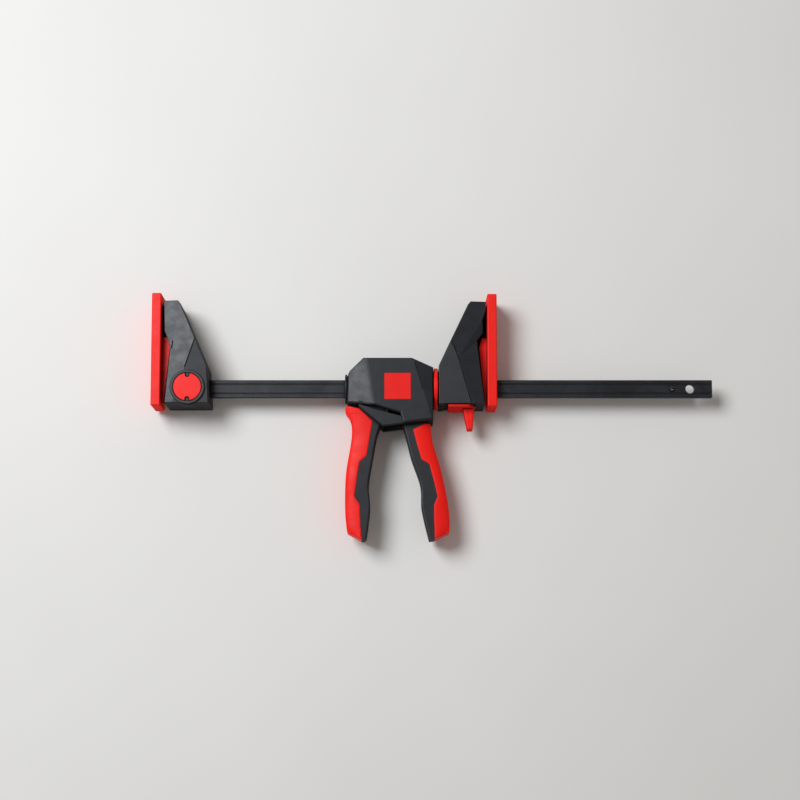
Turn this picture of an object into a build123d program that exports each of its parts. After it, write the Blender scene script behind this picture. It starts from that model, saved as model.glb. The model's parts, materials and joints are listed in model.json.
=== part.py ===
from build123d import *
import os
from math import hypot, radians, sin

# Quick release bar clamp, set up as a spreader and lying on its side.
# Every length is in millimetres. The working frame has X along the rail, Y towards the
# tips of the jaws and Z out of the clamp's flat side. Its zero is on the rail's axis, level
# with the middle of the drive housing. The last step moves all of it so that the clamp
# stands on Z = 0 with its box centred on X and Y.

# ---------------------------------------------------------------- driving dimensions
# Rail
rail_length = 569.0
rail_height = 19.0
rail_thickness = 5.0
rail_corner = 0.9
rail_end_corner = 1.3
rail_right_end = 331.3
groove_width = 2.0
groove_depth = 0.6
groove_offset = 4.9
lock_hole_r = 4.7
hang_hole_r = 4.7
lock_hole_from_end = 18.1
hang_hole_from_end = 23.3
stop_pin_r = 2.6
stop_pin_bore_r = 1.3
stop_pin_proud = 1.7
stop_pin_from_end = 42.3
end_pad_ahead = 11.0

# Jaws, measured from the back of their pad plates
jaw_reach = 91.5
jaw_depth = 51.0
jaw_foot = 18.5
body_half_width = 22.5
jaw_tip_half_width = 15.5
jaw_edge_round = 0.8
crease_width = 1.5
crease_depth = 1.1
hollow_depth = 1.2
hollow_tip_depth = 0.3
drive_pad_back = 93.7
drive_jaw_drop = 1.1
end_jaw_heel_inset = 2.2
drive_jaw_heel_inset = 0.0
end_jaw_foot_gap = 5.2
drive_jaw_foot_gap = 3.2
web_half_width = 3.0
web_root = 14.0
web_above_foot = 4.0

# Pads
pad_thickness = 10.0
pad_over_tip = 8.1
pad_over_foot = 1.9
pad_half_width = 17.5
pad_edge_round = 1.3
rib_half_width = 6.0
rib_depth = 8.0
rib_foot_depth = 1.8
rib_top = 54.5
nose_half_width = 6.0
nose_above_rib = 1.5

# Lock button of the end jaw
button_r = 14.6
button_drop = 2.0
button_proud = 1.5
button_travel = 5.6
button_cap_thickness = 4.6
button_flange = 1.5
flange_below_cap = 2.0
ring_seat_wall = 0.8
well_floor_wall = 2.5
ring_width = 3.4
ring_proud = 1.1
ring_depth = 4.0
notch_width = 5.2
notch_length = 4.6
notch_depth = 2.6
lug_width = 2.6
lock_pin_r = 4.4
yoke_wall = 2.4
yoke_half_length = 7.4
yoke_below_rail = 2.0
bridge_thickness = 3.0
button_wire = 0.9
button_coil_r = 5.6
button_coil_turns = 2.25
back_wall = 2.2

# Swivel sleeve and what runs on and in it
spring_room = 2.18
sleeve_wall = 2.0
sleeve_socket_depth = 19.0
swivel_ring_inset = 0.5
swivel_ring_gap = 0.8
cap_flange_width = 1.5
cap_flange_thickness = 2.0
cap_spigot_length = 7.0
jaw_pin_r = 2.0
jaw_pin_cover = 3.4

# Drive: plates, thrust ring and spring
drive_plate_thickness = 2.5
drive_plate_count = 2
drive_plate_proud = 2.4
drive_plate_half_width = 5.0
thrust_ring_width = 4.8
thrust_ring_thickness = 3.0
drive_wire = 1.3
drive_coil_turns = 7

# Housing
housing_left = -53.3
housing_right = 37.2
housing_lean = 0.5
housing_top = 29.2
housing_wall = 3.2
housing_edge_round = 2.0
housing_left_cover = 2.5
ridge_softness = 3.2
lower_inset = 1.5
cavity_left = -36.0
mouth_top = -26.0
shadow_gap_cover = 2.0
badge_size = 27.6
badge_thickness = 0.6
badge_sunk = 0.35
badge_centre = (-0.4, -1.1)

# Handles
handle_half_width = 13.5
handle_drop = 162.7
handle_tip = 0.992
grip_edge_round = 4.0
tongue_half_width = 7.0
tongue_inset = 4.5
core_inset = 0.3
core_round = 1.5

# Trigger
trigger_pivot = (13.8, 19.0)
trigger_pin_r = 3.0
trigger_pin_cover = 1.5
trigger_boss_r = 6.6
trigger_swing = 19.0
fork_thickness = 3.4
fork_left = 6.0
fork_drop = 49.0
nose_r = 2.5
nose_behind_pivot = 2.1

# Screws
screw_r = 1.5
screw_head_r = 3.0
screw_head_height = 2.2
screw_head_sunk = 0.4
screw_top = 8.0
screw_boss_wall = 1.6

# Brake and release lever
brake_plate_thickness = 2.5
brake_plate_count = 2
brake_tilt = 8.0
brake_half_width = 9.0
brake_above_rail = 6.0
brake_below_rail = 5.5
brake_wire = 1.1
brake_coil_turns = 3
lever_travel = 4.2
lever_half_width = 18.0
lever_bar_thickness = 2.6
lever_recess = 1.0
lever_corner_length = 5.6
lever_corner_width = 9.5
lever_arm_length = 4.0
lever_arm_half_width = 6.0
lever_length = 27.2
lever_from_heel = 9.9
finger_half_width = 7.5
finger_drop = 24.7

# Clearances
slide_gap = 0.3
seat_gap = 0.1
pin_gap = 0.08
turn_gap = 0.3
touch_gap = 0.3
fork_gap = 0.6
stroke_room = 1.0
well_room = 0.4
head_gap = 0.2

# ---------------------------------------------------------------- derived places
rail_left_end = rail_right_end - rail_length
end_pad_back = rail_left_end - end_pad_ahead
lock_x = rail_left_end + lock_hole_from_end
hang_x = rail_right_end - hang_hole_from_end
stop_x = rail_right_end - stop_pin_from_end
drive_jaw_left = drive_pad_back - jaw_depth
end_jaw_right = end_pad_back + jaw_depth
drive_foot = -jaw_foot - drive_jaw_drop
web_bottom = -jaw_foot + web_above_foot
pad_above_rail = jaw_reach + pad_over_tip
pad_below_rail = jaw_foot + pad_over_foot
nose_bottom = rib_top + nose_above_rib

button_face = body_half_width + button_proud
ring_face = body_half_width + ring_proud
ring_outer_r = button_r + ring_width

sleeve_left = housing_left - slide_gap
sleeve_right = drive_jaw_left + sleeve_socket_depth
sleeve_bore_r = hypot(rail_height / 2, rail_thickness / 2) + spring_room
sleeve_r = sleeve_bore_r + sleeve_wall
swivel_ring_r = body_half_width - swivel_ring_inset
cap_flange_r = sleeve_r + cap_flange_width
drive_plate_reach = sleeve_r + drive_plate_proud
thrust_ring_r = sleeve_r + thrust_ring_width

fork_inside = sleeve_r + fork_gap
fork_outside = fork_inside + fork_thickness
cavity_half_width = fork_outside + fork_gap
cavity_floor_left = fork_left - fork_drop * sin(radians(trigger_swing)) - 1.0
shadow_gap_end = cavity_floor_left - 1.0
mouth_left = cavity_floor_left - 4.7
mouth_half_width = handle_half_width + 0.5
shadow_gap_floor = mouth_half_width + shadow_gap_cover
lower_half_width = body_half_width - lower_inset
core_half_width = handle_half_width - core_inset
trigger_pin_half_length = body_half_width - trigger_pin_cover

brake_top = rail_height / 2 + brake_above_rail
brake_bottom = rail_height / 2 + brake_below_rail
lever_left = drive_jaw_left + lever_from_heel
lever_right = lever_left + lever_length
lever_top = drive_foot + lever_recess - touch_gap
lever_bottom = lever_top - lever_bar_thickness
finger_tip = drive_foot - finger_drop

# ---------------------------------------------------------------- helpers
nodes = {}


def box(x0, x1, y0, y1, z0, z1):
    """A block between two opposite corners."""
    return Pos((x0 + x1) / 2, (y0 + y1) / 2, (z0 + z1) / 2) * Box(x1 - x0, y1 - y0, z1 - z0)


def bar_x(radius, x0, x1):
    """A round bar along the rail's axis."""
    return Pos((x0 + x1) / 2, 0, 0) * Rot(0, 90, 0) * Cylinder(radius, x1 - x0)


def post(x, y, radius, z0, z1):
    """A round post across the clamp, along Z."""
    return Pos(x, y, (z0 + z1) / 2) * Cylinder(radius, z1 - z0)


def slab(outline, z0, z1):
    """A closed outline in X and Y, as a plate between two heights."""
    face = make_face(Polyline(*outline, close=True)) if isinstance(outline, list) else outline
    return Pos(0, 0, z0) * extrude(face, z1 - z0, dir=(0, 0, 1))


def above_plane(p0, p1, p2, size=260.0):
    """All that lies above the plane through three points, for cutting a facet."""
    a, b, c = Vector(p0), Vector(p1), Vector(p2)
    normal = (b - a).cross(c - a).normalized()
    normal = normal if normal.Z > 0 else normal * -1
    facet = Plane(origin=a, z_dir=normal)
    return facet * Pos(0, 0, size / 2) * Box(size, size, size)


def both_sides(solid):
    """A cutter and its mirror image in the clamp's middle plane."""
    return [solid, mirror(solid, about=Plane.XY)]


def coil(radius, wire, length, turns):
    """A round-wire spring that stands on Z = 0 and is as long as its seat allows."""
    run = length - wire
    path = Helix(pitch=run / turns, height=run, radius=radius)
    start = Plane(origin=path @ 0, z_dir=path % 0)
    return Pos(0, 0, wire / 2) * sweep(start * Circle(wire / 2), path=path)


def rail_slot(x0, x1, gap=slide_gap):
    """The room that the rail needs in a part that it runs through."""
    half_y, half_z = rail_height / 2 + gap, rail_thickness / 2 + gap
    return box(x0, x1, -half_y, half_y, -half_z, half_z)


# ---------------------------------------------------------------- rail
def make_rail():
    section = Rectangle(rail_height, rail_thickness)
    section = fillet(section.vertices(), rail_corner)
    bar = Pos(rail_left_end, 0, 0) * extrude(Plane.YZ * section, rail_length, dir=(1, 0, 0))
    plan = RectangleRounded(rail_length, rail_height, rail_end_corner)
    middle = rail_left_end + rail_length / 2
    bar &= Pos(middle, 0, 0) * extrude(plan, rail_thickness, both=True)
    edge = rail_thickness / 2
    for side in (-1, 1):
        for row in (-1, 1):
            mid = row * groove_offset
            bar -= box(
                rail_left_end, rail_right_end,
                mid - groove_width / 2, mid + groove_width / 2,
                min(side * edge, side * (edge - groove_depth)),
                max(side * edge, side * (edge - groove_depth)),
            )
    bar -= post(lock_x, 0, lock_hole_r, -rail_thickness, rail_thickness)
    bar -= post(hang_x, 0, hang_hole_r, -rail_thickness, rail_thickness)
    bar -= post(stop_x, 0, stop_pin_r, -rail_thickness, rail_thickness)
    return bar


def make_stop_pin():
    half = rail_thickness / 2 + stop_pin_proud
    pin = post(stop_x, 0, stop_pin_r, -half, half)
    pin = chamfer(pin.edges().filter_by(GeomType.CIRCLE), 0.4)
    pin -= post(stop_x, 0, stop_pin_bore_r, -half, half)
    slit = stop_pin_r * 0.3
    return pin - box(stop_x, stop_x + stop_pin_r + 1, -slit, slit, -half, half)


# ---------------------------------------------------------------- jaws and pads
end_jaw_front = [
    (2.5, jaw_reach), (3.8, rib_top + 4.0), (6.9, rib_top - 3.4), (10.1, rib_top - 14.1),
]
drive_jaw_front = [
    (1.5, jaw_reach), (1.5, jaw_reach - 10), (5.2, jaw_reach - 20), (5.2, rib_top + 3),
    (11.3, rib_top - 4.5),
]


def jaw_outline(front, foot_gap, heel_inset):
    """The side view of a jaw, as depth behind its pad and height above the rail."""
    return [
        *front, (foot_gap, -jaw_foot), (jaw_depth, -jaw_foot),
        (jaw_depth - heel_inset, rail_height / 2 + 13 - heel_inset / 2),
        (jaw_depth - 30.7, jaw_reach - 3.5), (jaw_depth - 33.5, jaw_reach),
    ]


def facet_jaw(body, creases):
    """Cut the flat facets of a jaw, each through three points, on both sides."""
    for points in creases:
        for cutter in both_sides(above_plane(*points)):
            body -= cutter
    return body


end_high = (36.5, rib_top - 4.5, body_half_width)
end_low = (26.0, rail_height, body_half_width)
end_shoulder_high = (13.0, rib_top - 6.5, body_half_width - 3.3)
end_shoulder_low = (11.8, rib_top - 15.0, body_half_width - 3.0)


def end_jaw_facets():
    return [
        (end_high, end_low, (1.5, jaw_reach, jaw_tip_half_width)),
        (end_high, end_low, (jaw_depth, -jaw_foot, body_half_width - 1.0)),
    ]


drive_junction = (30.5, rail_height + 11, body_half_width)
drive_foot_corner = (16.8, -jaw_foot, body_half_width)
drive_back_corner = (36.7, rib_top - 6, body_half_width - 0.5)
drive_tip_corner = (5.2, jaw_reach - 20, jaw_tip_half_width + 1.9)
drive_shoulder = (12.4, rib_top - 7.5, body_half_width - 3.1)


def drive_jaw_facets():
    return [
        (drive_junction, drive_foot_corner, (jaw_depth, -jaw_foot, body_half_width - 1.6)),
        (drive_junction, drive_foot_corner, drive_tip_corner),
        (drive_junction, drive_tip_corner, drive_back_corner),
    ]


def cut_front_hollow(body):
    """Sink the facet between the junction, the tip and the shoulder of the drive jaw."""
    x, y, z = drive_shoulder
    tip_x, tip_y, tip_z = drive_tip_corner
    facet = above_plane(
        drive_junction, (tip_x, tip_y, tip_z - hollow_tip_depth), (x, y, z - hollow_depth)
    )
    outline = [drive_junction[:2], (x, y), (-5, y + 5), (-5, jaw_reach - 8), (tip_x, tip_y)]
    for cutter in both_sides(facet & slab(outline, 0, 2 * body_half_width)):
        body -= cutter
    return body


def make_jaw_form(outline, facets):
    """A jaw with its facets and rounded edges, before its inside is cut."""
    body = slab(outline, -body_half_width - 4, body_half_width + 4)
    body = facet_jaw(body, facets)
    walls = [f for f in body.faces() if abs(f.normal_at(f.center()).Z) < 0.05]
    rims = [e for f in walls for e in f.edges() if abs(e.center().Z) > jaw_tip_half_width / 2]
    body = fillet(rims, jaw_edge_round)
    return body


def back_pad(body):
    """Add what backs the pad: a broad nose above, and a thin web that its rib straddles."""
    body += box(0, web_root, nose_bottom, jaw_reach - 3, -nose_half_width, nose_half_width)
    return body + box(0, web_root, web_bottom, nose_bottom + 1, -web_half_width, web_half_width)


def cut_creases(body, creases):
    """Run a fine groove along each crease, given by its two ends, on both sides."""
    for start, end in creases:
        a, b = Vector(*start), Vector(*end)
        along = b - a
        normal = along.cross(Vector(0, 0, 1).cross(along))
        groove = Plane(origin=(a + b) / 2, x_dir=along, z_dir=normal)
        groove = groove * Box(along.length, crease_width, 2 * crease_depth)
        for cutter in both_sides(groove):
            body -= cutter
    return body


def place_end(solid):
    """From pad depth and height to the end jaw's place, its pad facing -X."""
    return Pos(end_pad_back, 0, 0) * solid


def place_drive(solid):
    """From pad depth and height to the drive jaw's place, its pad facing +X."""
    return Pos(drive_pad_back, -drive_jaw_drop, 0) * mirror(solid, about=Plane.YZ)


def make_pad():
    """A soft plate with a tapering rib on its back, slotted for the jaw's web."""
    plate = box(-pad_thickness, 0, -pad_below_rail, pad_above_rail, -pad_half_width, pad_half_width)
    plate = fillet(plate.edges(), pad_edge_round)
    rib_bottom = -jaw_foot + 2
    rib = [
        (-1, rib_top), (5, rib_top), (rib_depth, rib_top - 10), (rib_foot_depth, rib_bottom),
        (-1, rib_bottom),
    ]
    pad = plate + slab(rib, -rib_half_width, rib_half_width)
    slot = web_half_width + seat_gap
    return pad - box(0, rib_depth + 1, web_bottom - seat_gap, rib_top + 1, -slot, slot)


# ---------------------------------------------------------------- end jaw and lock button
button_y = -button_drop
notch_floor = button_face - notch_depth
cap_bottom = button_face - button_cap_thickness
flange_top = ring_face - ring_depth
flange_bottom = cap_bottom - flange_below_cap
well_floor = flange_bottom - button_travel - well_room


def make_end_jaw():
    outline = jaw_outline(end_jaw_front, end_jaw_foot_gap, end_jaw_heel_inset)
    body = back_pad(make_jaw_form(outline, end_jaw_facets()))
    creases = [(end_high, end_low), (end_shoulder_high, end_shoulder_low)]
    body = place_end(cut_creases(body, creases))
    body += post(
        lock_x, button_y, ring_outer_r + ring_seat_wall, well_floor - well_floor_wall,
        flange_top + 1.5,
    )
    body -= rail_slot(rail_left_end - seat_gap, end_jaw_right + 1, gap=seat_gap)
    body -= post(lock_x, button_y, button_r + button_flange + turn_gap, well_floor, ring_face + 3)
    body -= post(lock_x, button_y, ring_outer_r + seat_gap, flange_top, ring_face + 3)
    body -= box(
        lock_x - yoke_half_length - turn_gap, lock_x + yoke_half_length + turn_gap,
        yoke_low - turn_gap, yoke_high + turn_gap, -body_half_width + back_wall, well_floor + 1,
    )
    return body


yoke_high = rail_height / 2 + turn_gap + yoke_wall
yoke_low = -yoke_high - yoke_below_rail
bridge_top = -rail_thickness / 2 - button_travel - stroke_room
bridge_bottom = bridge_top - bridge_thickness


def make_button_cap():
    cap = post(lock_x, button_y, button_r, cap_bottom - 0.01, button_face)
    cap = fillet(cap.faces().sort_by(Axis.Z)[-1].edges(), 0.6)
    for side in (-1, 1):
        rim = button_y + side * button_r
        middle = rim - side * (notch_length - notch_width / 2)
        cap -= post(lock_x, middle, notch_width / 2, notch_floor, button_face + 1)
        cap -= box(
            lock_x - notch_width / 2, lock_x + notch_width / 2,
            min(middle, rim + side), max(middle, rim + side), notch_floor, button_face + 1,
        )
    flange = post(
        lock_x, button_y, button_r + button_flange, flange_bottom, flange_top - seat_gap
    )
    return cap + flange


def make_button_yoke():
    """The frame that hangs from the cap, straddles the rail and carries the lock pin."""
    top = flange_bottom
    x0, x1 = lock_x - yoke_half_length, lock_x + yoke_half_length
    yoke = box(x0, x1, yoke_low, yoke_high, bridge_bottom, top)
    gap = rail_height / 2 + turn_gap
    yoke -= box(x0 - 1, x1 + 1, -gap, gap, bridge_top, top - 2.0)
    yoke &= post(lock_x, button_y, button_r + button_flange, bridge_bottom, top)
    return yoke - post(lock_x, 0, lock_pin_r, bridge_bottom - 1, bridge_top + 1)


def make_lock_pin():
    pin = post(lock_x, 0, lock_pin_r, bridge_bottom, rail_thickness / 2 - 0.3)
    return chamfer(pin.faces().sort_by(Axis.Z)[-1].edges(), 0.6)


def make_button_ring():
    """The bezel that holds the button in: two lugs stand in the button's notches."""
    ring = post(lock_x, button_y, ring_outer_r, flange_top, ring_face)
    ring -= post(lock_x, button_y, button_r + turn_gap, flange_top - 1, ring_face + 1)
    rim = ring.faces().sort_by(Axis.Z)[-1].edges()
    ring = fillet(rim, 0.8)
    for side in (-1, 1):
        outer = button_y + side * (button_r + turn_gap + 0.8)
        inner = button_y + side * (button_r - notch_length + 1.6)
        ring += box(
            lock_x - lug_width / 2, lock_x + lug_width / 2, min(inner, outer), max(inner, outer),
            notch_floor + 0.3, notch_floor + 1.4,
        )
    return ring


def make_button_spring():
    floor = -body_half_width + back_wall
    spring = coil(button_coil_r, button_wire, bridge_bottom - floor, button_coil_turns)
    return Pos(lock_x, 0, floor) * spring


# ---------------------------------------------------------------- housing and handles
def down(share):
    """Height of a place on a handle, as a share of the handle's drop below the rail."""
    return -share * handle_drop


fixed_outer = [
    (-54.4, down(0.121)), (-54.6, down(0.166)), (-51.3, down(0.195)), (-48.9, down(0.24)),
    (-48.3, down(0.302)), (-50.1, down(0.398)), (-54.1, down(0.547)), (-55.3, down(0.696)),
    (-55.0, down(0.819)), (-52.9, down(0.943)),
]
fixed_seam = [
    (-40.1, down(0.141)), (-26.4, down(0.222)), (-28.0, down(0.276)), (-32.8, down(0.449)),
    (-40.1, down(0.489)), (-42.9, down(0.597)), (-45.3, down(0.711)), (-39.6, down(0.765)),
    (-39.2, down(0.869)), (-37.6, down(handle_tip)),
]
fixed_inner = [
    (-19.1, down(0.259)), (-21.6, down(0.305)), (-26.4, down(0.459)), (-29.6, down(0.572)),
    (-30.8, down(0.651)), (-30.0, down(0.706)), (-29.2, down(0.78)), (-30.4, down(0.859)),
    (-31.6, down(0.923)), (-33.2, down(0.983)),
]
trigger_outer = [
    (34.0, down(0.236)), (34.9, down(0.304)), (36.1, down(0.353)), (39.9, down(0.434)),
    (45.5, down(0.553)), (49.5, down(0.661)), (51.9, down(0.746)), (53.6, down(0.844)),
    (53.6, down(0.941)),
]
trigger_seam = [
    (27.9, down(0.24)), (15.8, down(0.277)), (19.8, down(0.374)), (24.6, down(0.473)),
    (32.7, down(0.503)), (36.7, down(0.597)), (41.1, down(0.711)), (37.5, down(0.765)),
    (37.5, down(0.844)), (38.2, down(0.985)),
]
trigger_inner = [
    (4.9, down(0.24)), (7.4, down(0.292)), (10.9, down(0.379)), (14.2, down(0.459)),
    (24.2, down(0.661)), (24.6, down(0.77)), (25.4, down(0.802)), (29.4, down(0.913)),
    (32.6, down(0.99)),
]


def curve_and_line(curved, straight):
    """A face between a smooth edge and a row of straight ones, both listed downwards."""
    smooth = Spline(*curved)
    back = Polyline(*(straight[::-1]))
    below, above = Line(curved[-1], straight[-1]), Line(straight[0], curved[0])
    loop = [edge for piece in (smooth, below, back, above) for edge in piece.edges()]
    return make_face(loop)


def make_grip(outer, seam, tongue):
    """A soft grip: rounded where the hand lies, hollow for the core's tongue."""
    form = extrude(curve_and_line(outer, seam), handle_half_width, both=True)
    hand_side = [
        e for e in form.edges()
        if abs(abs(e.center().Z) - handle_half_width) < 0.1 and e.geom_type == GeomType.BSPLINE
    ]
    form = fillet(hand_side, grip_edge_round)
    return form - tongue


def make_tongue(outer, seam):
    """The part of a handle's core that its grip is moulded over."""
    side = 1 if outer[3][0] > seam[3][0] else -1
    inset = [(x - side * tongue_inset, y) for x, y in outer[1:-1]]
    line = seam[1:-1]
    face = curve_and_line(inset, [inset[0], *line, inset[-1]][1:-1])
    return extrude(face, tongue_half_width, both=True)


def housing_outline():
    right, left, top = housing_right, housing_left, housing_top
    return [
        (left, -17.3), (left + 1, top - 16.7), (left + 3, top - 12.9), (left + 17, top),
        (14.3, top), (right - 0.3, top - 9.6), (right - housing_lean, -35.7), (5.3, -39.6),
        (2.2, -28.9), (-23.7, -20.8),
    ]


def lower_outline():
    return [(-41.0, -16.0), (2.2, -26.0), (8.0, -39.3), (-15.8, -42.4), (-41.0, -21.8)]


def make_shadow_gap():
    """The gap under the upper housing's edge: blind at the left, open into the cavity."""
    blind = [
        (-44.0, -18.0), (-23.7, -20.8), (shadow_gap_end, -24.46), (shadow_gap_end, -28.6),
        (-23.7, -25.6), (-44.0, -18.6),
    ]
    through = [
        (shadow_gap_end - 0.1, -24.43), (2.2, -28.9), (3.3, -32.4), (shadow_gap_end - 0.1, -28.6),
    ]
    above = body_half_width + 1
    gap = slab(blind, shadow_gap_floor, above)
    return gap + slab(through, cavity_half_width - 0.1, above)


def soften_ridge(body, start, end, low):
    """Take a ridge down by narrow strips, so that its face rolls over into the facet."""
    a, b, c = Vector(start), Vector(end), Vector(low)
    run = (b - a).normalized()
    down = ((c - a) - run * (c - a).dot(run)).normalized()
    across = Vector(0, 0, 1).cross(run)
    away = across if across.dot(down) < 0 else across * -1
    for share in (0.2, 0.4, 0.6, 0.8):
        shift = away * ridge_softness * (1 - share)
        strip = above_plane(a + shift, b + shift, a + down * ridge_softness * share)
        for cutter in both_sides(strip):
            body -= cutter
    return body


def make_housing_form():
    """The outside of the drive housing with the fixed handle's core."""
    wide = body_half_width
    upper = slab(housing_outline(), -wide, wide)
    low_left = (housing_left, 0, sleeve_r + housing_left_cover)
    ridge_left = ((-34.0, housing_top, wide), (-26.0, -20.2, wide), low_left)
    ridge_right = ((17.9, 24.0, wide), (34.5, -33.0, wide), (housing_right, 5.0, wide - 2.4))
    for facet in (ridge_left, ridge_right):
        for cutter in both_sides(above_plane(*facet)):
            upper -= cutter
    rims = [e for e in upper.edges() if abs(e.center().Z) > 14]
    upper = fillet(rims, housing_edge_round)
    upper = soften_ridge(upper, *ridge_left)
    upper = cut_creases(upper, [(ridge_right[0], (26.0, -4.0, wide))])
    lower = slab(lower_outline(), -lower_half_width, lower_half_width)
    lower = chamfer([e for e in lower.edges() if abs(e.center().Z) > 20], 0.8)
    core = extrude(curve_and_line(fixed_inner, core_back_line()), core_half_width, both=True)
    core = fillet(
        [e for e in core.edges() if e.geom_type == GeomType.BSPLINE and abs(e.center().Z) > 5],
        core_round,
    )
    return upper + lower + core + make_tongue(fixed_outer, fixed_seam)


def core_back_line():
    """The seam of the fixed handle, carried up into the housing."""
    return [(-30.0, -18.0), *fixed_seam]


def make_cavity():
    """The room inside the housing for the sleeve, the thrust ring and the trigger's fork."""
    right, top, wall = housing_right - housing_wall, housing_top - housing_wall, housing_wall
    outline = [
        (cavity_left, -15.5), (cavity_left, top - 4), (cavity_left + 4, top), (13.5, top),
        (right, top - 9.4), (right - housing_lean, -32.7), (2.0, -36.0), (cavity_floor_left, -36.0),
        (cavity_floor_left, -15.5),
    ]
    room = slab(outline, -cavity_half_width, cavity_half_width)
    ring_left = plates_right - ring_stroke - 1.0
    room += bar_x(thrust_ring_r + 0.5, ring_left, ring_face_x + 0.6)
    room += box(mouth_left, right + 0.01, -46.0, mouth_top, -mouth_half_width, mouth_half_width)
    room += post(*trigger_pivot, trigger_boss_r + turn_gap, -cavity_half_width, cavity_half_width)
    room += bar_x(sleeve_r + turn_gap, housing_left - 1, housing_right + 1)
    return room


ring_face_x = trigger_pivot[0] - nose_behind_pivot - nose_r - touch_gap
ring_stroke = trigger_pivot[1] * sin(radians(trigger_swing))

screw_places = [(-27.0, 20.8, body_half_width), (-12.0, 20.8, body_half_width),
                (-22.0, -31.5, lower_half_width), (-37.2, -108.0, core_half_width)]


def make_shells():
    form = make_housing_form()
    form -= make_cavity()
    for gap in both_sides(make_shadow_gap()):
        form -= gap
    for x, y, face in screw_places[:2]:
        reach = cavity_half_width + 0.5
        form += post(x, y, screw_r + screw_boss_wall, -reach, reach)
        seat_r = screw_head_r + head_gap + screw_boss_wall
        form += post(x, y, seat_r, -reach, -face + screw_head_height + screw_head_sunk + screw_boss_wall)
    form -= make_trigger_pin()
    for x, y, face in screw_places:
        form -= post(x, y, screw_r, -face - 1, screw_top)
        form -= post(x, y, screw_head_r + head_gap, -face - 1, -face + screw_head_height + screw_head_sunk)
    half_badge = badge_size / 2
    form -= slab(badge_outline(half_badge + 0.15), body_half_width - badge_sunk, 40)
    front = form & box(-200, 200, -300, 200, 0, 60)
    back = form & box(-200, 200, -300, 200, -60, 0)
    return front, back


def badge_outline(half):
    x, y = badge_centre
    return [(x - half, y - half), (x + half, y - half), (x + half, y + half), (x - half, y + half)]


def make_badge():
    """A plain label plate, let into the front of the housing."""
    low = body_half_width - badge_sunk
    plate = slab(badge_outline(badge_size / 2), low, low + badge_thickness)
    return chamfer(plate.faces().sort_by(Axis.Z)[-1].edges(), 0.2)


def make_housing_screws():
    """Pan-head screws driven from the back, all alike but for where the head seats."""
    screws = []
    for x, y, face in screw_places:
        seat = -face + screw_head_height + screw_head_sunk
        screw = post(x, y, screw_head_r, seat - screw_head_height, seat)
        screw = fillet(screw.faces().sort_by(Axis.Z)[0].edges(), 0.8)
        screw += post(x, y, screw_r, seat, screw_top)
        drive = Pos(x, y, seat - screw_head_height) * (Box(3.4, 0.8, 2.0) + Box(0.8, 3.4, 2.0))
        screws.append(screw - drive)
    return screws


# ---------------------------------------------------------------- trigger
def make_trigger():
    px, py = trigger_pivot
    fork_foot = py - fork_drop
    arm = [
        (px - trigger_boss_r + 0.4, py), (px - 4.6, py - 9), (px - nose_behind_pivot - nose_r + 0.2, 0),
        (px - 1.3, py - 24), (px, py - 31), (px - 0.3, py - 41), (fork_left, fork_foot + 2),
        (fork_left, fork_foot), (31.8, fork_foot), (31.8, fork_foot + 9), (26.0, 0),
        (px + trigger_boss_r - 0.4, py),
    ]
    arms = slab(arm, fork_inside, fork_outside)
    arms += post(px, py, trigger_boss_r, fork_inside, fork_outside)
    arms += post(px - nose_behind_pivot, 0, nose_r, fork_inside, fork_outside)
    both = arms + mirror(arms, about=Plane.XY)
    block = [
        (px - 0.3, fork_foot + 7.5), (31.8, fork_foot + 7.5), (31.8, fork_foot),
        (33.4, down(0.22)), (27.9, down(0.24)), (4.9, down(0.24)), (fork_left, fork_foot),
        (fork_left, fork_foot + 2),
    ]
    both += slab(block, -fork_inside - 0.01, fork_inside + 0.01)
    core = extrude(curve_and_line(trigger_inner, trigger_seam), core_half_width, both=True)
    core = fillet(
        [e for e in core.edges() if e.geom_type == GeomType.BSPLINE and abs(e.center().Z) > 5],
        core_round,
    )
    trigger = both + core + make_tongue(trigger_outer, trigger_seam)
    mouth_cut = box(-10, 60, -60, fork_foot - 0.2, core_half_width, 30)
    trigger -= mouth_cut
    trigger -= mirror(mouth_cut, about=Plane.XY)
    return trigger - post(px, py, trigger_pin_r + pin_gap, -30, 30)


def make_trigger_pin():
    half = trigger_pin_half_length
    return post(*trigger_pivot, trigger_pin_r, -half, half)


# ---------------------------------------------------------------- sleeve and drive
plates_right = ring_face_x - thrust_ring_thickness
plates_left = plates_right - drive_plate_count * drive_plate_thickness


def make_sleeve():
    """The tube that the handle unit turns on, bored for the spring and slotted for the plates."""
    tube = bar_x(sleeve_r, sleeve_left, sleeve_right)
    tube = chamfer(tube.faces().sort_by(Axis.X)[0].edges(), 0.4)
    tube -= rail_slot(sleeve_left - 1, sleeve_right + 1)
    tube -= bar_x(sleeve_bore_r, sleeve_left - 1, plates_right + 1.2)
    window = drive_plate_half_width + slide_gap
    tube -= box(
        plates_left - ring_stroke - 1.0, plates_right + 1.2,
        -sleeve_r - 1, sleeve_r + 1, -window, window,
    )
    for y in (-1, 1):
        tube -= post(pin_x, y * pin_y, jaw_pin_r, -30, 30)
    return tube


pin_x = drive_jaw_left + sleeve_socket_depth * 0.55
pin_y = sleeve_r - 1.0


def make_jaw_pins():
    """Two pins across the drive jaw that catch the sleeve's flanks."""
    half = body_half_width - jaw_pin_cover
    return [post(pin_x, side * pin_y, jaw_pin_r, -half, half) for side in (-1, 1)]


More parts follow.
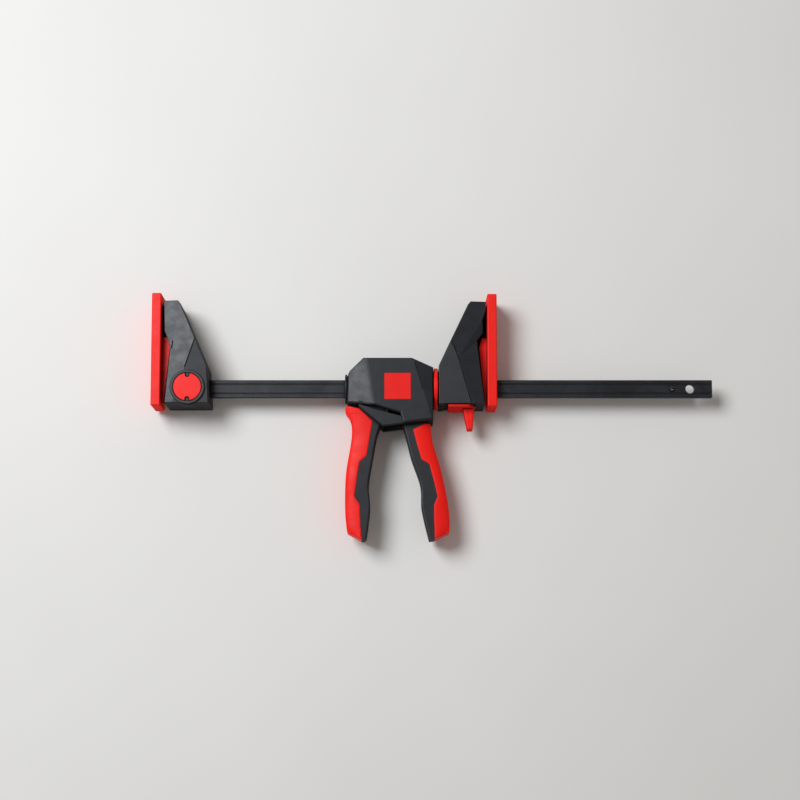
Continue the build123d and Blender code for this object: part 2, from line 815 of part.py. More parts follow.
def make_sleeve_cap():
    """The end cap of the sleeve: its flange holds the housing on and its spigot seats the spring."""
    cap = bar_x(cap_flange_r, sleeve_left - cap_flange_thickness, sleeve_left)
    cap = chamfer(cap.edges().filter_by(GeomType.CIRCLE), 0.4)
    cap += bar_x(sleeve_bore_r - seat_gap, sleeve_left, sleeve_left + cap_spigot_length)
    return cap - rail_slot(sleeve_left - 5, sleeve_left + cap_spigot_length + 1)


def make_swivel_ring():
    left, right = housing_right + slide_gap, drive_jaw_left - swivel_ring_gap
    ring = bar_x(swivel_ring_r, left, right)
    ring = fillet(ring.edges().filter_by(GeomType.CIRCLE), 1.2)
    return ring - bar_x(sleeve_r + seat_gap, left - 1, right + 1)


def make_thrust_ring():
    ring = bar_x(thrust_ring_r, plates_right, ring_face_x)
    ring = chamfer(ring.edges().filter_by(GeomType.CIRCLE), 0.3)
    return ring - bar_x(sleeve_r + slide_gap, plates_right - 1, ring_face_x + 1)


def make_drive_plates():
    plates = []
    for i in range(drive_plate_count):
        x = plates_left + i * drive_plate_thickness
        plate = box(
            x, x + drive_plate_thickness, -drive_plate_reach, drive_plate_reach,
            -drive_plate_half_width, drive_plate_half_width,
        )
        plates.append(plate - rail_slot(x - 1, x + 5))
    return plates


def make_drive_spring():
    left = sleeve_left + cap_spigot_length
    radius = sleeve_bore_r - slide_gap - drive_wire / 2
    spring = coil(radius, drive_wire, plates_left - left, drive_coil_turns)
    return Pos(left, 0, 0) * Rot(0, 90, 0) * spring


# ---------------------------------------------------------------- brake and release lever
brake_left = sleeve_right + 6.5
brake_coil_r = rail_height / 2 + 2.0
brake_pack = brake_plate_count * brake_plate_thickness
brake_pivot = (brake_left, brake_top)
brake_window = rail_height / 2 + 0.8


def make_brake_plates():
    """Plates that stand tilted on the rail and grip it; they pivot about their top left edge."""
    plates = []
    tilt = Pos(*brake_pivot, 0) * Rot(0, 0, brake_tilt) * Pos(-brake_pivot[0], -brake_pivot[1], 0)
    for i in range(brake_plate_count):
        x = brake_left + i * brake_plate_thickness
        plate = box(
            x, x + brake_plate_thickness, -brake_bottom, brake_top,
            -brake_half_width, brake_half_width,
        )
        plate -= box(
            x - 1, x + 5, -brake_window - 0.35, brake_window - 0.35,
            -rail_thickness / 2 - slide_gap, rail_thickness / 2 + slide_gap,
        )
        plates.append(tilt * plate)
    return plates


def brake_swing(depth):
    """How far right the tilted plates stand at a depth below their pivot."""
    return depth * sin(radians(brake_tilt))


lever_arm_left = brake_left + brake_pack + brake_swing(brake_top + brake_bottom) + 0.6


def make_release_lever():
    """A slide let into the jaw's foot, with a finger tab and an arm that reaches the brake."""
    cut_x, cut_z = lever_right - lever_corner_length, lever_half_width - lever_corner_width
    half = [
        (lever_left, lever_half_width), (cut_x, lever_half_width), (lever_right, cut_z),
    ]
    plan = half + [(x, -z) for x, z in half[::-1]]
    face = Plane.XZ * make_face(Polyline(*plan, close=True))
    bar = Pos(0, lever_top, 0) * extrude(face, lever_bar_thickness, dir=(0, -1, 0))
    tab = [
        (lever_right - 12.0, lever_bottom + 1), (lever_right + 0.3, lever_bottom + 1),
        (lever_right - 1.4, finger_tip), (lever_right - 7.0, finger_tip),
    ]
    finger = slab(tab, -finger_half_width, finger_half_width)
    finger = fillet(finger.edges().filter_by(Axis.Z), 1.0)
    rims = [e for e in finger.edges() if abs(abs(e.center().Z) - finger_half_width) < 0.05]
    finger = fillet(rims, 1.6)
    arm = box(
        lever_arm_left, lever_arm_left + lever_arm_length, lever_top - 1, -brake_bottom + 4.0,
        -lever_arm_half_width, lever_arm_half_width,
    )
    return bar + finger + arm


def make_brake_spring():
    gap = 0.3
    left, right = sleeve_right, brake_left + gap
    spring = coil(brake_coil_r, brake_wire, right - left - 0.4, brake_coil_turns)
    return Pos(left, 0, 0) * Rot(0, 90, 0) * spring


def make_drive_jaw():
    outline = jaw_outline(drive_jaw_front, drive_jaw_foot_gap, drive_jaw_heel_inset)
    body = back_pad(cut_front_hollow(make_jaw_form(outline, drive_jaw_facets())))
    creases = [(drive_back_corner, drive_junction), (drive_junction, drive_foot_corner)]
    body = place_drive(cut_creases(body, creases))
    body -= rail_slot(drive_jaw_left - 1, drive_pad_back + 1)
    body -= bar_x(sleeve_r + seat_gap, drive_jaw_left - 1, sleeve_right)
    for pin in make_jaw_pins():
        body -= pin
    chamber_right = lever_arm_left + lever_arm_length + 0.6
    body -= box(
        sleeve_right - 0.01, chamber_right, -brake_bottom - 0.6, brake_top + 1.2,
        -brake_half_width - 1.5, brake_half_width + 1.5,
    )
    body -= bar_x(brake_coil_r + brake_wire, sleeve_right - 0.01, brake_left + 0.5)
    arm_side = lever_arm_half_width + slide_gap
    body -= box(
        lever_arm_left - lever_travel - 0.6, chamber_right, drive_foot - 1, -brake_bottom + 1,
        -arm_side, arm_side,
    )
    return body - box(
        lever_left - lever_travel - 0.6, lever_right + 1.0, drive_foot - 1, drive_foot + lever_recess,
        -body_half_width, body_half_width,
    )


def make_drive_pad():
    """The pad of the drive jaw, which the rail runs through."""
    return place_drive(make_pad()) - rail_slot(drive_jaw_left, drive_pad_back + pad_thickness + 1)


# ---------------------------------------------------------------- assembly
def build():
    nodes["rail"] = make_rail()
    nodes["rail_stop_pin"] = make_stop_pin()
    nodes["end_jaw"] = make_end_jaw()
    nodes["end_jaw_pad"] = place_end(make_pad())
    nodes["button_ring"] = make_button_ring()
    nodes["lock_button"] = make_button_cap()
    nodes["button_yoke"] = make_button_yoke()
    nodes["lock_pin"] = make_lock_pin()
    nodes["button_spring"] = make_button_spring()
    nodes["drive_jaw"] = make_drive_jaw()
    nodes["drive_jaw_pad"] = make_drive_pad()
    nodes["swivel_sleeve"] = make_sleeve()
    nodes["sleeve_cap"] = make_sleeve_cap()
    nodes["swivel_ring"] = make_swivel_ring()
    nodes["jaw_pins"] = make_jaw_pins()
    nodes["brake_plates"] = make_brake_plates()
    nodes["brake_spring"] = make_brake_spring()
    nodes["release_lever"] = make_release_lever()
    nodes["front_housing"], nodes["back_housing"] = make_shells()
    nodes["housing_screws"] = make_housing_screws()
    nodes["badge"] = make_badge()
    nodes["handle_grip"] = make_grip(fixed_outer, fixed_seam, make_tongue(fixed_outer, fixed_seam))
    nodes["trigger"] = make_trigger()
    nodes["trigger_grip"] = make_grip(
        trigger_outer, trigger_seam, make_tongue(trigger_outer, trigger_seam)
    )
    nodes["trigger_pin"] = make_trigger_pin()
    nodes["thrust_ring"] = make_thrust_ring()
    nodes["drive_plates"] = make_drive_plates()
    nodes["drive_spring"] = make_drive_spring()


def box_middle():
    """The middle of the clamp's box in X and Y, and how far it lies below the rail's axis."""
    x_mid = (end_pad_back - pad_thickness + rail_right_end) / 2
    y_mid = (pad_above_rail + down(handle_tip)) / 2
    return x_mid, y_mid, body_half_width


def write():
    """Move the clamp to stand on Z = 0 with its box centred, and write every piece."""
    x_mid, y_mid, half_width = box_middle()
    place = Pos(-x_mid, -y_mid, half_width)
    os.makedirs("parts", exist_ok=True)
    for name, made in nodes.items():
        solids = made if isinstance(made, list) else made.solids()
        placed = [place * s for s in solids]
        whole = placed[0] if len(placed) == 1 else Compound(children=placed)
        export_step(whole, f"parts/{name}.step")


build()
write()
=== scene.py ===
import json
from math import atan, cos, radians, sin

import bpy
import numpy as np
from mathutils import Euler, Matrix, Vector


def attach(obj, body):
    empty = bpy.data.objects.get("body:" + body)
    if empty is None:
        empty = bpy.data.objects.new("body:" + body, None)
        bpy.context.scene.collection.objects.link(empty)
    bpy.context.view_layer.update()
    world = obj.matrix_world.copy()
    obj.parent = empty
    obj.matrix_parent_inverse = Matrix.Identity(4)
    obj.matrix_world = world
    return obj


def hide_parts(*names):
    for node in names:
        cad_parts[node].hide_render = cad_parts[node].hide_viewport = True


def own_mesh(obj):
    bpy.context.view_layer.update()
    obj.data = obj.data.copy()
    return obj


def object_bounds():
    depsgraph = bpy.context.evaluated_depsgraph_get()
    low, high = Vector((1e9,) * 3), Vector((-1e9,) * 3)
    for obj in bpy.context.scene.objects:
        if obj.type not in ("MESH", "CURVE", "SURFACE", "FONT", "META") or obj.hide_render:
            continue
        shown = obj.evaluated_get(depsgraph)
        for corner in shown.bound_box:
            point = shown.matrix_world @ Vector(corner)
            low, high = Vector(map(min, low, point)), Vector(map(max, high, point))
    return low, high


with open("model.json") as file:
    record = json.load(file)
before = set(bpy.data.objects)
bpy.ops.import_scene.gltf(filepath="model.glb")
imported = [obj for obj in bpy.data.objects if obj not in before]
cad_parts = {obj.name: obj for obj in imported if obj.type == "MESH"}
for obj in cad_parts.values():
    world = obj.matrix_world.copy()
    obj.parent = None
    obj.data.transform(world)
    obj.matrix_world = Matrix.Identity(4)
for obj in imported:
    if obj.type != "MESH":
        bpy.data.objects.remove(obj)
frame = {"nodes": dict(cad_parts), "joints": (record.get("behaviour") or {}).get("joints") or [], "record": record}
cad_low, cad_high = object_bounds()
nodes = frame["nodes"]
record = frame["record"]

# Lengths are in metres, colours are linear, and texture scales are in cells per metre.

# ---------------------------------------------------------------- view
PICTURE = 800.0  # pixels
SENSOR = 36.0  # millimetres
CAMERA_FOOT = (-0.0363, -0.2978)
CAMERA_HEIGHT = 1.6025
FOCAL_PIXELS = 1490.6
FOOT_PIXEL = (398.0, 700.0)
SHIFT_Y = 0.2
FOCAL_TRIM = 1.004
AIM_TRIM = 0.7  # pixels

# ---------------------------------------------------------------- studio
FLOOR_HALF = 4.0
FLOOR_TONE = (0.80, 0.775, 0.74)
FLOOR_TONE_PALE = (0.83, 0.805, 0.77)
WORLD_COLOUR = (1.0, 0.98, 0.95)
WORLD_STRENGTH = 0.28
KEY_COLOUR = (0.93, 0.965, 1.0)
SHEEN_COLOUR = (0.62, 0.80, 1.0)

# ---------------------------------------------------------------- colours
BLACK = (0.0095, 0.0108, 0.0142)
BLACK_LIGHT = (0.0175, 0.0200, 0.0260)
# Paler black for scuffs, and for edges that are partly worn and partly a painted highlight.
BLACK_WORN_AND_HIGHLIT = (0.095, 0.098, 0.105)
# Painted shade: near black for gaps, corners and grooves.
BLACK_PAINTED_SHADE = (0.0025, 0.0025, 0.003)
RED = (0.95, 0.012, 0.006)
RED_DARK = (0.78, 0.005, 0.003)
# Paler red for scuffs and dust, and for edges that are partly worn and partly a painted highlight.
RED_WORN_AND_HIGHLIT = (0.92, 0.075, 0.06)
# Painted shade: deep red for gaps and corners.
RED_PAINTED_SHADE = (0.16, 0.001, 0.001)
LABEL_RED = (0.92, 0.009, 0.005)
LABEL_RED_DARK = (0.80, 0.006, 0.004)
RAIL = (0.014, 0.0147, 0.018)
RAIL_LIGHT = (0.040, 0.042, 0.052)
BRIGHT_STEEL = (0.36, 0.36, 0.37)
BRIGHT_STEEL_DARK = (0.20, 0.20, 0.21)
SPRING_STEEL = (0.30, 0.30, 0.31)
SPRING_STEEL_DARK = (0.16, 0.16, 0.17)
SCREW_STEEL = (0.010, 0.010, 0.011)
SCREW_STEEL_DARK = (0.005, 0.005, 0.006)

# ---------------------------------------------------------------- sizes of paler edges (wear, and on plastic a painted highlight) and of painted shade in gaps
PLASTIC_EDGE = 0.0006
GRIP_EDGE = 0.0012
RAIL_EDGE = 0.00035
STEEL_EDGE = 0.0003
BLACK_GAP = 0.009
RED_GAP = 0.0015
GRIP_GAP = 0.003
RAIL_GROOVE = 0.0018
RAIL_SHADE = 0.008


# ---------------------------------------------------------------- material helpers
class Look:
    """One material's node tree, built with short calls."""

    def __init__(self, name):
        self.material = bpy.data.materials.new(name)
        self.material.use_nodes = True
        self.tree = self.material.node_tree
        self.tree.nodes.clear()
        self.place = self.add("ShaderNodeTexCoord").outputs["Object"]

    def add(self, kind, **settings):
        node = self.tree.nodes.new(kind)
        for key, value in settings.items():
            setattr(node, key, value)
        return node

    def join(self, source, target):
        self.tree.links.new(source, target)

    def stretched(self, scale):
        """The object's coordinates, scaled by axis."""
        mapping = self.add("ShaderNodeMapping")
        mapping.inputs["Scale"].default_value = scale
        self.join(self.place, mapping.inputs["Vector"])
        return mapping.outputs["Vector"]

    def noise(self, scale, detail=4.0, roughness=0.55, vector=None, distortion=0.0):
        node = self.add("ShaderNodeTexNoise")
        node.inputs["Scale"].default_value = scale
        node.inputs["Detail"].default_value = detail
        node.inputs["Roughness"].default_value = roughness
        node.inputs["Distortion"].default_value = distortion
        self.join(vector or self.place, node.inputs["Vector"])
        return node.outputs["Fac"]

    def cells(self, scale):
        node = self.add("ShaderNodeTexVoronoi", feature="F1")
        node.inputs["Scale"].default_value = scale
        self.join(self.place, node.inputs["Vector"])
        return node.outputs["Distance"]

    def remap(self, value, low, high, to_low=0.0, to_high=1.0, smooth=False):
        """The value from low to high turned into one from to_low to to_high, held at both ends."""
        node = self.add("ShaderNodeMapRange", clamp=True)
        if smooth:
            node.interpolation_type = "SMOOTHSTEP"
        sockets = ("From Min", "From Max", "To Min", "To Max")
        for key, number in zip(sockets, (low, high, to_low, to_high)):
            node.inputs[key].default_value = number
        self.join(value, node.inputs["Value"])
        return node.outputs["Result"]

    def math(self, operation, first, second=0.0):
        node = self.add("ShaderNodeMath", operation=operation)
        for socket, value in zip(node.inputs, (first, second)):
            if isinstance(value, float):
                socket.default_value = value
            else:
                self.join(value, socket)
        return node.outputs["Value"]

    def blend(self, share, first, second):
        """The first colour, turning to the second as the share goes from nought to one."""
        node = self.add("ShaderNodeMix", data_type="RGBA")
        self.join(share, node.inputs["Factor"])
        colour_sockets = (node.inputs[6], node.inputs[7])
        for socket, colour in zip(colour_sockets, (first, second)):
            if isinstance(colour, tuple):
                socket.default_value = (*colour, 1.0)
            else:
                self.join(colour, socket)
        return node.outputs[2]

    def edges(self, radius):
        """One on sharp outer edges and nought on flat places."""
        bevel = self.add("ShaderNodeBevel", samples=4)
        bevel.inputs["Radius"].default_value = radius
        true = self.add("ShaderNodeNewGeometry").outputs["Normal"]
        turn = self.add("ShaderNodeVectorMath", operation="DOT_PRODUCT")
        self.join(bevel.outputs["Normal"], turn.inputs[0])
        self.join(true, turn.inputs[1])
        return self.remap(turn.outputs["Value"], low=0.995, high=0.86)

    def openness(self, reach, low, high):
        """One on open surfaces and nought deep in gaps no wider than the reach."""
        near = self.add("ShaderNodeAmbientOcclusion", samples=8)
        near.inputs["Distance"].default_value = reach
        return self.remap(near.outputs["AO"], low, high)

    def walls(self, level):
        """The level on side walls, and nought on the broad faces that lie flat."""
        split = self.add("ShaderNodeSeparateXYZ")
        self.join(self.add("ShaderNodeTexCoord").outputs["Normal"], split.inputs[0])
        upright = self.math("ABSOLUTE", split.outputs["Z"])
        return self.remap(upright, low=0.35, high=0.8, to_low=level, to_high=0.0)

    def bump(self, height, distance, strength, under=None):
        node = self.add("ShaderNodeBump")
        node.inputs["Distance"].default_value = distance
        node.inputs["Strength"].default_value = strength
        self.join(height, node.inputs["Height"])
        if under is not None:
            self.join(under, node.inputs["Normal"])
        return node.outputs["Normal"]

    def surface(self, colour, roughness, normal, metallic=0.0, specular=0.5):
        shader = self.add("ShaderNodeBsdfPrincipled")
        self.join(colour, shader.inputs["Base Color"])
        self.join(roughness, shader.inputs["Roughness"])
        self.join(normal, shader.inputs["Normal"])
        shader.inputs["Metallic"].default_value = metallic
        shader.inputs["Specular IOR Level"].default_value = specular
        output = self.add("ShaderNodeOutputMaterial")
        self.join(shader.outputs["BSDF"], output.inputs["Surface"])
        return self.material


# ---------------------------------------------------------------- materials
def moulded_plastic(name, base, light, worn, deep, gap, grain, roughness, specular):
    """Moulded plastic: spark-eroded grain, faint mottling, scuffs, and paler edges that are partly wear and partly
    a painted highlight.

    Gaps up to about the gap width get painted shade, and side walls are more matt than broad faces.
    """
    look = Look(name)
    mottle_field = look.noise(scale=60.0, detail=6.0, distortion=0.8)
    mottle = look.remap(mottle_field, low=0.35, high=0.68, smooth=True)
    colour = look.blend(look.math("MULTIPLY", mottle, 0.3), base, light)

    fine = look.noise(scale=900.0, detail=3.0)
    speck = look.remap(fine, low=0.56, high=0.72, to_high=0.4)
    colour = look.blend(speck, colour, light)

    drawn_out = look.stretched((1.0, 0.25, 1.0))
    scuff_field = look.noise(scale=150.0, detail=8.0, roughness=0.7, vector=drawn_out)
    scuff = look.remap(scuff_field, low=0.66, high=0.78, to_high=0.35)
    patchy = look.remap(look.noise(scale=210.0, detail=5.0), low=0.38, high=0.62, to_low=0.15, to_high=0.7)
    # Paler edges: partly wear, partly a painted highlight along the edges.
    wear_and_highlight = look.math("MULTIPLY", look.edges(PLASTIC_EDGE), patchy)
    colour = look.blend(look.math("MAXIMUM", scuff, wear_and_highlight), colour, worn)

    # Painted shade: gaps and corners up to the gap width darken towards the deep colour.
    clear = look.openness(gap, low=0.5, high=0.95)
    colour = look.blend(clear, deep, colour)

    rough_field = look.noise(scale=95.0, detail=6.0)
    rough = look.remap(rough_field, low=0.3, high=0.7, to_low=roughness - 0.06, to_high=roughness + 0.08)
    rough = look.math("SUBTRACT", rough, look.math("MULTIPLY", wear_and_highlight, 0.1))
    rough = look.math("MAXIMUM", rough, look.remap(clear, low=0.0, high=1.0, to_low=0.9, to_high=0.2))
    rough = look.math("MAXIMUM", rough, look.walls(0.85))

    wave = look.noise(scale=55.0, detail=2.0)
    pits = look.math("ADD", look.cells(scale=2600.0), look.math("MULTIPLY", fine, 0.6))
    normal = look.bump(wave, distance=0.00006, strength=0.3)
    normal = look.bump(pits, distance=grain, strength=0.55, under=normal)
    return look.surface(colour, rough, normal, specular=specular)


def soft_grip(name, base, dark, worn, deep):
    """Soft moulded rubber: satin, with a fine pebble skin and a dusty, handled look."""
    look = Look(name)
    handled_field = look.noise(scale=26.0, detail=5.0, distortion=0.6)
    handled = look.remap(handled_field, low=0.36, high=0.66, smooth=True)
    colour = look.blend(look.math("MULTIPLY", handled, 0.4), base, dark)

    dust_field = look.noise(scale=520.0, detail=6.0, roughness=0.7)
    dust = look.remap(dust_field, low=0.58, high=0.76, to_high=0.12)
    # Paler edges: partly wear, partly a painted highlight along the edges.
    wear_and_highlight = look.math("MULTIPLY", look.edges(GRIP_EDGE), 0.25)
    colour = look.blend(look.math("MAXIMUM", dust, wear_and_highlight), colour, worn)
    # Painted shade: narrow gaps darken towards the deep colour.
    colour = look.blend(look.openness(GRIP_GAP, low=0.25, high=0.7), deep, colour)

    rough_field = look.noise(scale=90.0, detail=4.0)
    rough = look.remap(rough_field, low=0.3, high=0.7, to_low=0.42, to_high=0.58)

    wave = look.noise(scale=48.0, detail=2.0)
    fine = look.math("MULTIPLY", look.noise(scale=2600.0), 0.5)
    pebble = look.math("ADD", look.cells(scale=1500.0), fine)
    normal = look.bump(wave, distance=0.00018, strength=0.35)
    normal = look.bump(pebble, distance=0.00005, strength=0.6, under=normal)
    return look.surface(colour, rough, normal, specular=0.22)


def dark_rail(name):
    """Blackened steel bar: lines along its length, thin oil bloom, bare metal on the arrises, and painted shade in
    its grooves and corners.
    """
    look = Look(name)
    bloom_field = look.noise(scale=22.0, detail=5.0, distortion=1.2)
    bloom = look.remap(bloom_field, low=0.34, high=0.7, smooth=True)
    colour = look.blend(look.math("MULTIPLY", bloom, 0.55), RAIL, RAIL_LIGHT)

    along = look.stretched((3.0, 700.0, 700.0))
    lines = look.noise(scale=2.0, detail=6.0, roughness=0.65, vector=along)
    colour = look.blend(look.remap(lines, low=0.5, high=0.75, to_high=0.45), colour, RAIL_LIGHT)

    strokes = look.stretched((14.0, 420.0, 420.0))
    scratch_field = look.noise(scale=3.0, detail=3.0, vector=strokes, distortion=0.4)
    scratch = look.remap(scratch_field, low=0.68, high=0.76, to_high=0.3)
    patchy = look.remap(look.noise(scale=120.0), low=0.4, high=0.6, to_low=0.1, to_high=0.5)
    bare = look.math("MULTIPLY", look.edges(RAIL_EDGE), patchy)
    colour = look.blend(look.math("MAXIMUM", scratch, bare), colour, BRIGHT_STEEL_DARK)

    # Painted shade: the grooves, and the corners where the rail meets other parts, darken towards near black.
    groove = look.openness(RAIL_GROOVE, low=0.76, high=0.99)
    colour = look.blend(groove, BLACK_PAINTED_SHADE, colour)
    colour = look.blend(look.openness(RAIL_SHADE, low=0.45, high=0.8), BLACK_PAINTED_SHADE, colour)

    rough = look.remap(lines, low=0.3, high=0.7, to_low=0.35, to_high=0.46)
    rough = look.math("MAXIMUM", rough, look.remap(groove, low=0.0, high=1.0, to_low=0.85, to_high=0.2))
    normal = look.bump(lines, distance=0.00002, strength=0.5)
    return look.surface(colour, rough, normal, metallic=0.3, specular=0.4)


def machined_steel(name, base, dark, roughness, metallic=1.0):
    """Ground or drawn steel with fine lines, faint stains and brighter edges."""
    look = Look(name)
    stain_field = look.noise(scale=60.0, detail=6.0, distortion=0.7)
    stain = look.remap(stain_field, low=0.4, high=0.68, to_high=0.8, smooth=True)
    colour = look.blend(stain, base, dark)
    colour = look.blend(look.math("MULTIPLY", look.edges(STEEL_EDGE), 0.5), colour, BRIGHT_STEEL)

    along = look.stretched((60.0, 600.0, 600.0))
    lines = look.noise(scale=3.0, detail=5.0, vector=along)
    rough = look.remap(lines, low=0.3, high=0.7, to_low=roughness - 0.08, to_high=roughness + 0.1)
    normal = look.bump(lines, distance=0.000015, strength=0.5)
    return look.surface(colour, rough, normal, metallic=metallic)


def enamelled_plate(name):
    """A plain printed plate: smooth enamel with a faint orange peel and a cloudy tone."""
    look = Look(name)
    tone = look.remap(look.noise(scale=60.0, detail=4.0), low=0.35, high=0.65, to_high=0.5)
    colour = look.blend(tone, LABEL_RED, LABEL_RED_DARK)
    peel = look.noise(scale=420.0, detail=3.0)
    rough = look.remap(peel, low=0.3, high=0.7, to_low=0.34, to_high=0.42)
    normal = look.bump(peel, distance=0.00002, strength=0.3)
    return look.surface(colour, rough, normal, specular=0.3)


def pale_floor(name):
    """The plain studio floor: matt paper with a barely visible tooth."""
    look = Look(name)
    tone = look.remap(look.noise(scale=3.0, detail=3.0), low=0.3, high=0.7)
    colour = look.blend(tone, FLOOR_TONE, FLOOR_TONE_PALE)
    tooth = look.noise(scale=300.0, detail=5.0)
    rough = look.remap(tooth, low=0.3, high=0.7, to_low=0.82, to_high=0.92)
    normal = look.bump(tooth, distance=0.0002, strength=0.2)
    return look.surface(colour, rough, normal, specular=0.2)


def make_finishes():
    """The materials, each under the name of the record's material slot that it stands for."""
    return {
        "black_plastic": moulded_plastic(
            "black_plastic", BLACK, BLACK_LIGHT, BLACK_WORN_AND_HIGHLIT, BLACK_PAINTED_SHADE,
            gap=BLACK_GAP, grain=0.00006, roughness=0.42, specular=0.42,
        ),
        "red_plastic": moulded_plastic(
            "red_plastic", RED, RED_DARK, RED_WORN_AND_HIGHLIT, RED_PAINTED_SHADE,
            gap=RED_GAP, grain=0.00004, roughness=0.42, specular=0.24,
        ),
        "red_pad": moulded_plastic(
            "red_pad", RED, RED_DARK, RED_WORN_AND_HIGHLIT, RED_PAINTED_SHADE,
            gap=RED_GAP, grain=0.00005, roughness=0.46, specular=0.26,
        ),
        "red_grip": soft_grip("red_grip", RED, RED_DARK, RED_WORN_AND_HIGHLIT, RED_PAINTED_SHADE),
        "black_steel": dark_rail("black_steel"),
        "plate_steel": machined_steel("plate_steel", BRIGHT_STEEL, BRIGHT_STEEL_DARK, roughness=0.38),
        "spring_steel": machined_steel("spring_steel", SPRING_STEEL, SPRING_STEEL_DARK, roughness=0.32),
        "screw_steel": machined_steel(
            "screw_steel", SCREW_STEEL, SCREW_STEEL_DARK, roughness=0.5, metallic=0.0
        ),
        "label_red": enamelled_plate("label_red"),
    }


# ---------------------------------------------------------------- the CAD nodes' finishes
finishes = make_finishes()
slots = {entry["node"]: entry["material_slot"] for entry in record["subparts"]}
for name, piece in nodes.items():
    for place in piece.material_slots:
        place.material = finishes[slots[name]]


# ---------------------------------------------------------------- soft grips
GRIP_VOXEL = 0.0007
SOFTEN_FACTOR = 0.5
SOFTEN_ROUNDS = 4
ROW_HEIGHT = 0.002
ROWS_AVERAGED = 9
CROWN_FROM = 0.0085
CROWN_DROP = 0.75
CROWN_POWER = 2.2


def soften(piece):
    """Gives the piece an evenly spaced mesh with slightly softened edges."""
    remesh = piece.modifiers.new("even", "REMESH")
    remesh.mode = "VOXEL"
    remesh.voxel_size = GRIP_VOXEL
    smooth = piece.modifiers.new("soft", "SMOOTH")
    smooth.factor = SOFTEN_FACTOR
    smooth.iterations = SOFTEN_ROUNDS
    graph = bpy.context.evaluated_depsgraph_get()
    mesh = bpy.data.meshes.new_from_object(piece.evaluated_get(graph))
    piece.modifiers.clear()
    piece.data = mesh


def edge_line(points, row, pick):
    """The outermost X of each row of points, averaged with its neighbours' along the grip."""
    outermost = []
    for number in range(row.max() + 1):
        inside = row == number
        outermost.append(pick(points[inside, 0]) if inside.any() else np.nan)
    spread = ROWS_AVERAGED // 2
    kernel = np.ones(ROWS_AVERAGED) / ROWS_AVERAGED
    return np.convolve(np.pad(outermost, spread, mode="edge"), kernel, mode="valid")


def crown(points, palm_right):
    """Lowers both broad faces from the seam towards the palm, so that the grip is rounded."""
    row = ((points[:, 1] - points[:, 1].min()) / ROW_HEIGHT).astype(int)
    left = edge_line(points, row, np.min)
    right = edge_line(points, row, np.max)
    seam, palm = (left, right) if palm_right else (right, left)
    share = np.clip((points[:, 0] - seam[row]) / (palm[row] - seam[row]), 0, 1)
    middle = (cad_low.z + cad_high.z) / 2
    offset = points[:, 2] - middle
    rise = np.abs(offset)
    over = np.clip(rise - CROWN_FROM, 0, None)
    lowered = CROWN_FROM + over * (1 - CROWN_DROP * share**CROWN_POWER)
    rise = np.where(rise > CROWN_FROM, lowered, rise)
    points[:, 2] = middle + np.sign(offset) * rise


def crowned_grip(name, node, body, palm_right):
    """A grip as a soft moulding: the CAD form remeshed evenly, then crowned towards the palm."""
    piece = bpy.data.objects.new(name, nodes[node].data.copy())
    bpy.context.scene.collection.objects.link(piece)
    soften(piece)
    mesh = piece.data
    points = np.empty(len(mesh.vertices) * 3)
    mesh.vertices.foreach_get("co", points)
    points = points.reshape(-1, 3)
    crown(points, palm_right)
    mesh.vertices.foreach_set("co", points.ravel())
    mesh.materials.clear()
    mesh.materials.append(finishes["red_grip"])
    mesh.polygons.foreach_set("use_smooth", [True] * len(mesh.polygons))
    mesh.update()
    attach(piece, body)
    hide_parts(node)


crowned_grip("handle_grip_soft", "handle_grip", "handle_unit", palm_right=False)
crowned_grip("trigger_grip_soft", "trigger_grip", "trigger", palm_right=True)


def live_spring(entry, body):
    """A copy of the spring's mesh, riding on its joint's body in place of the CAD node."""
    node = entry["node"]
    piece = bpy.data.objects.new(node + "_coil", nodes[node].data.copy())
    bpy.context.scene.collection.objects.link(piece)
    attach(piece, body)
    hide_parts(node)
    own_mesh(piece)


homes = {node: body for body, held in record["behaviour"]["bodies"].items() for node in held}
for joint in frame["joints"]:
    for entry in joint.get("deforming_nodes", []):
        live_spring(entry, homes[entry["node"]])


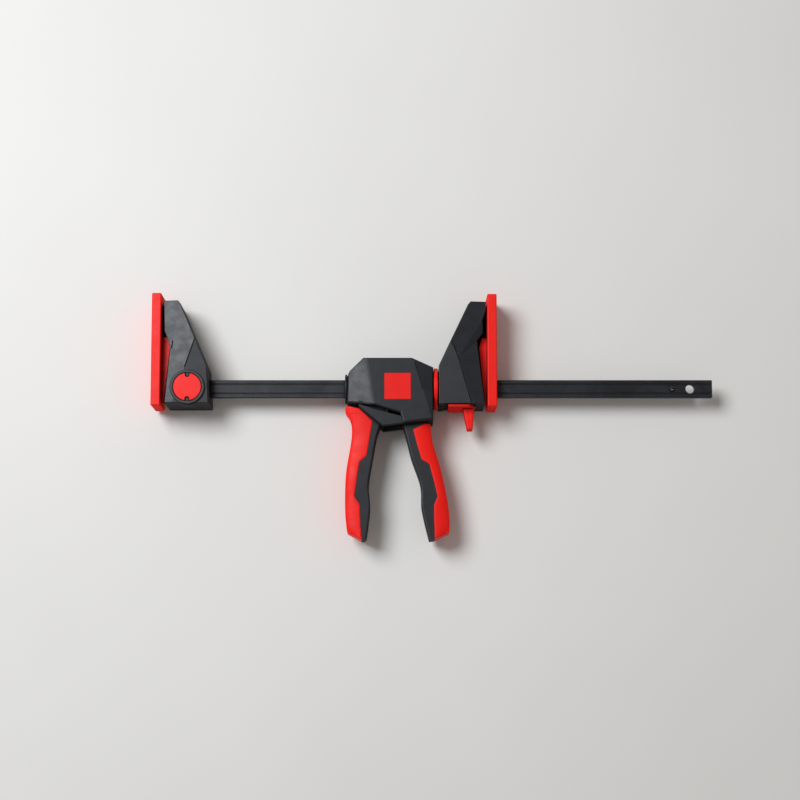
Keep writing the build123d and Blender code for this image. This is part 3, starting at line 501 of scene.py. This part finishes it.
# ---------------------------------------------------------------- floor, light and camera
def make_floor():
    mesh = bpy.data.meshes.new("floor")
    corners = [
        (-FLOOR_HALF, -FLOOR_HALF, 0.0),
        (FLOOR_HALF, -FLOOR_HALF, 0.0),
        (FLOOR_HALF, FLOOR_HALF, 0.0),
        (-FLOOR_HALF, FLOOR_HALF, 0.0),
    ]
    mesh.from_pydata(corners, [], [(0, 1, 2, 3)])
    mesh.materials.append(pale_floor("floor"))
    floor = bpy.data.objects.new("floor", mesh)
    bpy.context.scene.collection.objects.link(floor)


def make_light(name, place, target, size, power, colour):
    """A round soft light, aimed at the target."""
    data = bpy.data.lights.new(name, "AREA")
    data.shape = "DISK"
    data.size = size
    data.energy = power
    data.color = colour
    lamp = bpy.data.objects.new(name, data)
    lamp.location = place
    aim = Vector(target) - Vector(place)
    lamp.rotation_euler = aim.to_track_quat("-Z", "Y").to_euler()
    bpy.context.scene.collection.objects.link(lamp)


def make_world():
    world = bpy.data.worlds.new("studio")
    world.use_nodes = True
    background = world.node_tree.nodes["Background"]
    background.inputs["Color"].default_value = (*WORLD_COLOUR, 1.0)
    background.inputs["Strength"].default_value = WORLD_STRENGTH
    bpy.context.scene.world = world


def make_camera():
    """The photograph's camera, turned partly towards the clamp and shifted the rest of the way.

    The trims share the keystone that the turn brings evenly between the clamp's two sides.
    """
    data = bpy.data.cameras.new("camera")
    data.sensor_width = SENSOR
    rise = FOOT_PIXEL[1] - PICTURE / 2
    tilt = atan((rise - SHIFT_Y * PICTURE) / FOCAL_PIXELS)
    focal = rise * sin(tilt) + FOCAL_PIXELS * cos(tilt)
    data.lens = focal * FOCAL_TRIM / PICTURE * SENSOR
    data.shift_x = (PICTURE / 2 - FOOT_PIXEL[0]) / PICTURE
    data.shift_y = SHIFT_Y - AIM_TRIM / PICTURE
    camera = bpy.data.objects.new("camera", data)
    camera.location = (*CAMERA_FOOT, CAMERA_HEIGHT)
    camera.rotation_euler = Euler((tilt, 0.0, 0.0))
    bpy.context.scene.collection.objects.link(camera)
    bpy.context.scene.camera = camera


make_floor()
make_light("key", (-1.25, 0.78, 1.95), target=(0.0, 0.0, 0.0), size=1.3, power=48.0, colour=KEY_COLOUR)
make_light("sheen", (-0.95, 0.22, 1.25), target=(-0.15, 0.0, 0.0), size=0.4, power=1.0, colour=SHEEN_COLOUR)
make_world()
make_camera()
bpy.context.scene.view_settings.view_transform = "Standard"
